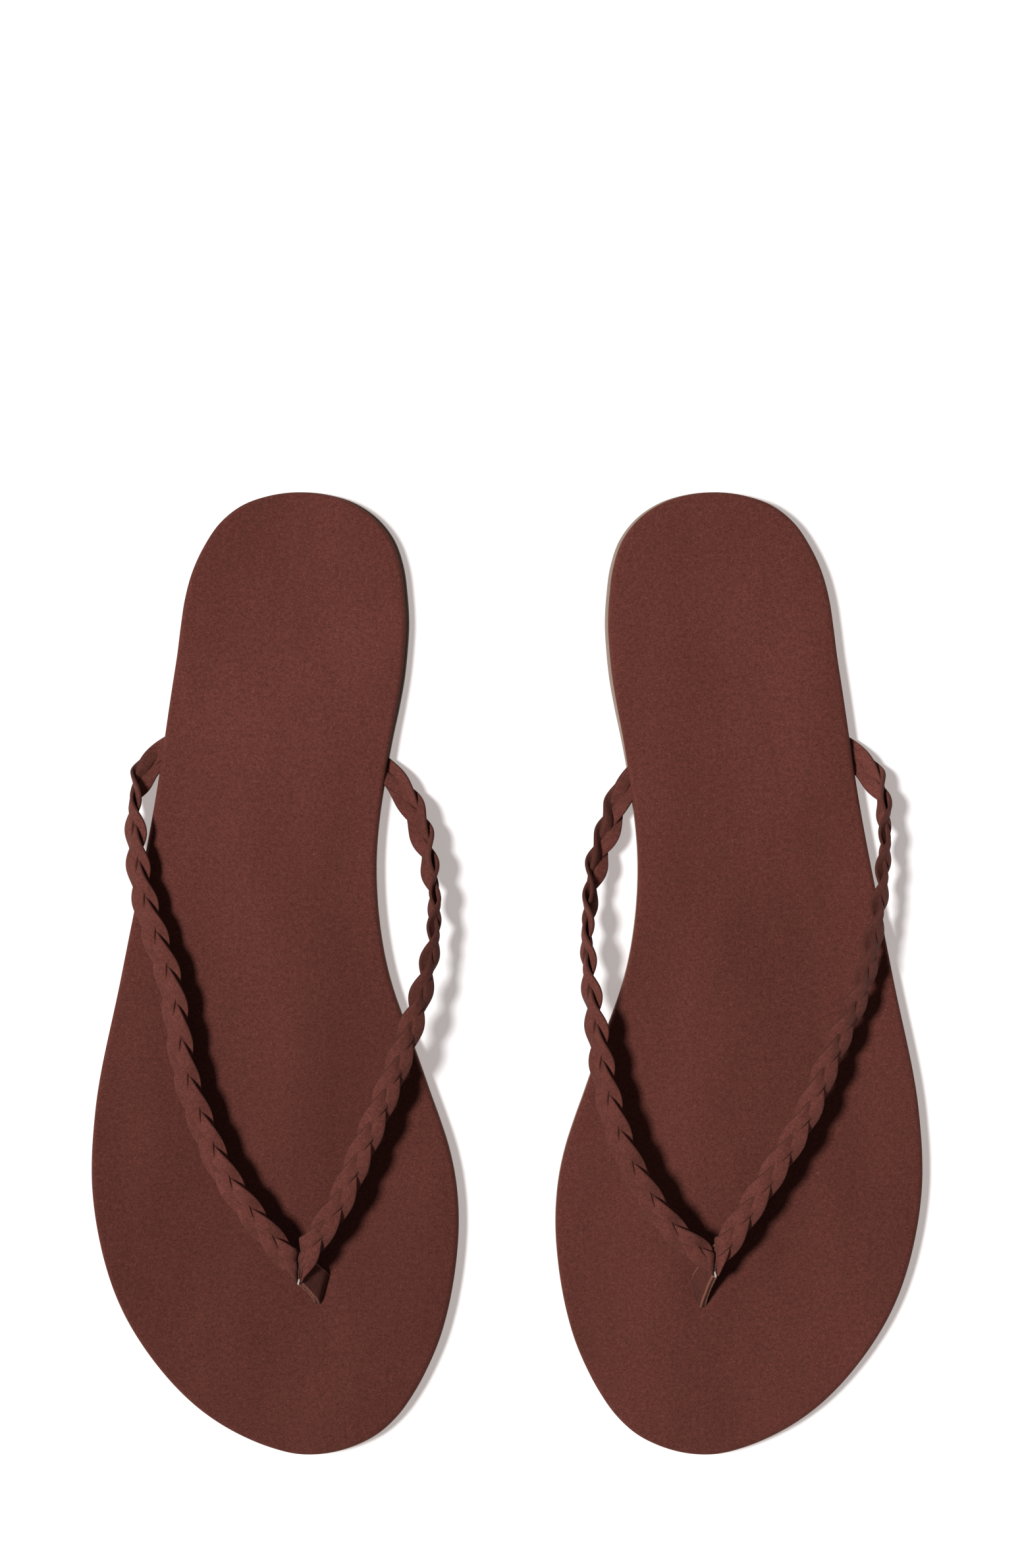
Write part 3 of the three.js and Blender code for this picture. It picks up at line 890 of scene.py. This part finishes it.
def suede(name, base, edge, grain, nap_turn, variation=()):
    """Brushed suede: fine nap, cloudy brushing marks, and another tone at its edges. On the
    straps the darker edge tone on the strands' walls and rims is partly painted shade in the
    creases.

    Given tones make the suede darker toward the toes and lighter toward the heel.
    """
    material, nodes, links, shader = new_material(name)
    plain = stretched(nodes, links, (1, 1, 1))
    brushed = stretched(nodes, links, (1, 0.35, 1), nap_turn)
    clouds = noise_node(nodes, links, brushed, scale=34, detail=4, roughness=0.6)
    fibres = noise_node(nodes, links, plain, scale=2300, detail=3, roughness=0.8)
    specks = noise_node(nodes, links, plain, scale=900, detail=4, roughness=0.75)
    colour = mix(nodes, links, "MULTIPLY", 1.0, base,
                 ramp(nodes, links, clouds, [(0.3, grey(0.86)), (0.7, grey(1.14))]))
    colour = mix(nodes, links, "MULTIPLY", 1.0, colour,
                 ramp(nodes, links, fibres, [(0.3, grey(1 - grain)), (0.7, grey(1 + grain))]))
    speck_tones = [(0.32, dusty(-0.55 * grain)), (0.7, dusty(0.6 * grain))]
    colour = mix(nodes, links, "MULTIPLY", 1.0, colour, ramp(nodes, links, specks, speck_tones))
    lint = noise_node(nodes, links, plain, scale=1900, detail=0, roughness=0.5)
    colour = mix(nodes, links, "ADD", 1.0, colour,
                 ramp(nodes, links, lint, [(0.78, grey(0)), (0.88, LINT_COLOUR)]))
    if variation:
        colour = mix(nodes, links, "MULTIPLY", 1.0, colour, lengthwise(nodes, links, variation))
    shade = nodes.new("ShaderNodeAttribute")
    shade.attribute_name = "shade"
    edge_tone_and_crease_shade_share = ramp(nodes, links, shade.outputs["Fac"], [(0.25, grey(0)), (0.9, grey(1))])
    # The edge tone: on the straps a darker tone on the strands' walls and rims, partly painted
    # crease shade.
    colour = mix(nodes, links, "MIX", edge_tone_and_crease_shade_share, colour, edge)
    links.new(colour, shader.inputs["Base Color"])
    roughness = ramp(nodes, links, clouds, [(0.3, grey(0.96)), (0.7, grey(0.86))])
    links.new(roughness, shader.inputs["Roughness"])
    shader.inputs["Specular IOR Level"].default_value = 0.15
    shader.inputs["Sheen Weight"].default_value = 0.06
    shader.inputs["Sheen Roughness"].default_value = 0.55
    shader.inputs["Sheen Tint"].default_value = (0.75, 0.5, 0.42, 1)
    height = mix(nodes, links, "ADD", 0.5, fibres, specks)
    bump(nodes, links, height, 0.35, 0.00025, shader)
    return material


def rubber():
    """Matt taupe rubber with a fine moulded tooth."""
    material, nodes, links, shader = new_material("taupe_rubber")
    plain = stretched(nodes, links, (1, 1, 1))
    tooth = noise_node(nodes, links, plain, scale=1400, detail=3, roughness=0.6)
    stains = noise_node(nodes, links, plain, scale=60, detail=4, roughness=0.6)
    colour = mix(nodes, links, "MULTIPLY", 1.0, RUBBER_COLOUR,
                 ramp(nodes, links, stains, [(0.3, grey(0.9)), (0.7, grey(1.08))]))
    colour = mix(nodes, links, "MULTIPLY", 1.0, colour,
                 ramp(nodes, links, tooth, [(0.3, grey(0.94)), (0.7, grey(1.06))]))
    links.new(colour, shader.inputs["Base Color"])
    shader.inputs["Roughness"].default_value = 0.78
    shader.inputs["Specular IOR Level"].default_value = 0.3
    bump(nodes, links, tooth, 0.3, 0.0002, shader)
    return material


def thread():
    """Pale waxed thread with a twist."""
    material, nodes, links, shader = new_material("pale_thread")
    plain = stretched(nodes, links, (1, 1, 1), 0.6)
    twist = nodes.new("ShaderNodeTexWave")
    twist.inputs["Scale"].default_value = 900
    twist.inputs["Distortion"].default_value = 1.5
    links.new(plain, twist.inputs["Vector"])
    colour = ramp(nodes, links, twist.outputs["Fac"], [(0.1, THREAD_DARK), (0.6, THREAD_LIGHT)])
    links.new(colour, shader.inputs["Base Color"])
    shader.inputs["Roughness"].default_value = 0.55
    bump(nodes, links, twist.outputs["Fac"], 0.4, 0.0002, shader)
    return material


def hidden_layer(name, base, scale, roughness, stretch):
    """The plain material of a layer inside the sole."""
    material, nodes, links, shader = new_material(name)
    fibres = noise_node(nodes, links, stretched(nodes, links, stretch), scale, 4, 0.65)
    tone = ramp(nodes, links, fibres, [(0.3, grey(0.82)), (0.7, grey(1.12))])
    links.new(mix(nodes, links, "MULTIPLY", 1.0, base, tone), shader.inputs["Base Color"])
    shader.inputs["Roughness"].default_value = roughness
    bump(nodes, links, fibres, 0.3, 0.0002, shader)
    return material


# The set.

def set_the_stage():
    """A white floor, soft light from all round, and a key light from high on the left."""
    bpy.ops.mesh.primitive_plane_add(size=6)
    floor = bpy.context.object
    floor.name = "floor"
    material, _, _, shader = new_material("white_floor")
    shader.inputs["Base Color"].default_value = (*FLOOR_COLOUR, 1)
    shader.inputs["Roughness"].default_value = 0.9
    shader.inputs["Specular IOR Level"].default_value = 0.1
    shader.inputs["Emission Color"].default_value = (*FLOOR_GLOW, 1)
    shader.inputs["Emission Strength"].default_value = 1.0
    floor.data.materials.append(material)

    world = bpy.data.worlds.new("studio")
    bpy.context.scene.world = world
    world.use_nodes = True
    background = world.node_tree.nodes["Background"]
    background.inputs["Color"].default_value = (1, 0.985, 0.97, 1)
    background.inputs["Strength"].default_value = WORLD_STRENGTH

    key = bpy.data.lights.new("key", "SUN")
    key.energy = KEY_STRENGTH
    key.angle = math.radians(KEY_SPREAD)
    lamp = bpy.data.objects.new("key", key)
    lamp.rotation_euler = Vector(KEY_DIRECTION).to_track_quat("-Z", "Y").to_euler()
    bpy.context.scene.collection.objects.link(lamp)


def place_camera():
    camera = bpy.data.cameras.new("camera")
    camera.sensor_fit = "VERTICAL"
    camera.sensor_height = SENSOR
    camera.lens = SENSOR * CAMERA_HEIGHT / VIEW_HEIGHT
    camera.clip_end = 20
    holder = bpy.data.objects.new("camera", camera)
    holder.location = (*CAMERA_CENTRE, CAMERA_HEIGHT)
    bpy.context.scene.collection.objects.link(holder)
    bpy.context.scene.camera = holder
    bpy.context.scene.view_settings.view_transform = "Standard"


place_camera()
set_the_stage()

SUEDE_TOP = suede("footbed_suede", FOOTBED_COLOUR, FOOTBED_EDGE, 0.42, 0.25, FOOTBED_TOE_TO_HEEL_TONES)
SUEDE_STRAP = suede("strap_suede", STRAP_COLOUR, STRAP_EDGE_AND_CREASE_SHADE, 0.38, 0.9)
SUEDE_PLY = suede("post_suede", PLY_TONE_AND_PAINTED_SHADE, PLY_EDGE, 0.34, 0.4)
RUBBER = rubber()
THREAD = thread()
INNER = {
    "insole_board": hidden_layer("fibreboard", (0.33, 0.22, 0.12), 500, 0.9, (1, 0.3, 1)),
    "footbed_foam": hidden_layer("foam", (0.62, 0.56, 0.47), 1500, 0.95, (1, 1, 1)),
    "toe_post_tape": hidden_layer("tape", (0.07, 0.03, 0.022), 1800, 0.9, (1, 1, 0.3)),
    "toe_anchor": RUBBER,
    "lateral_strap_tab": SUEDE_STRAP,
    "medial_strap_tab": SUEDE_STRAP,
}

for side in SIDES:
    footbed_cover(side, SUEDE_TOP)
    midsole(side, RUBBER)
    outsole(side, RUBBER)
    for part in ARMS:
        for index in range(len(LETTERS)):
            strand(side, part, index, SUEDE_STRAP)
    post_ply(side, "outer_ply", PLY_SHIFT, SUEDE_PLY)
    post_ply(side, "inner_ply", -PLY_SHIFT, SUEDE_PLY)
    stitch(side, THREAD)
    for node, material in INNER.items():
        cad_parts[f"{side}_{node}"].data.materials[0] = material
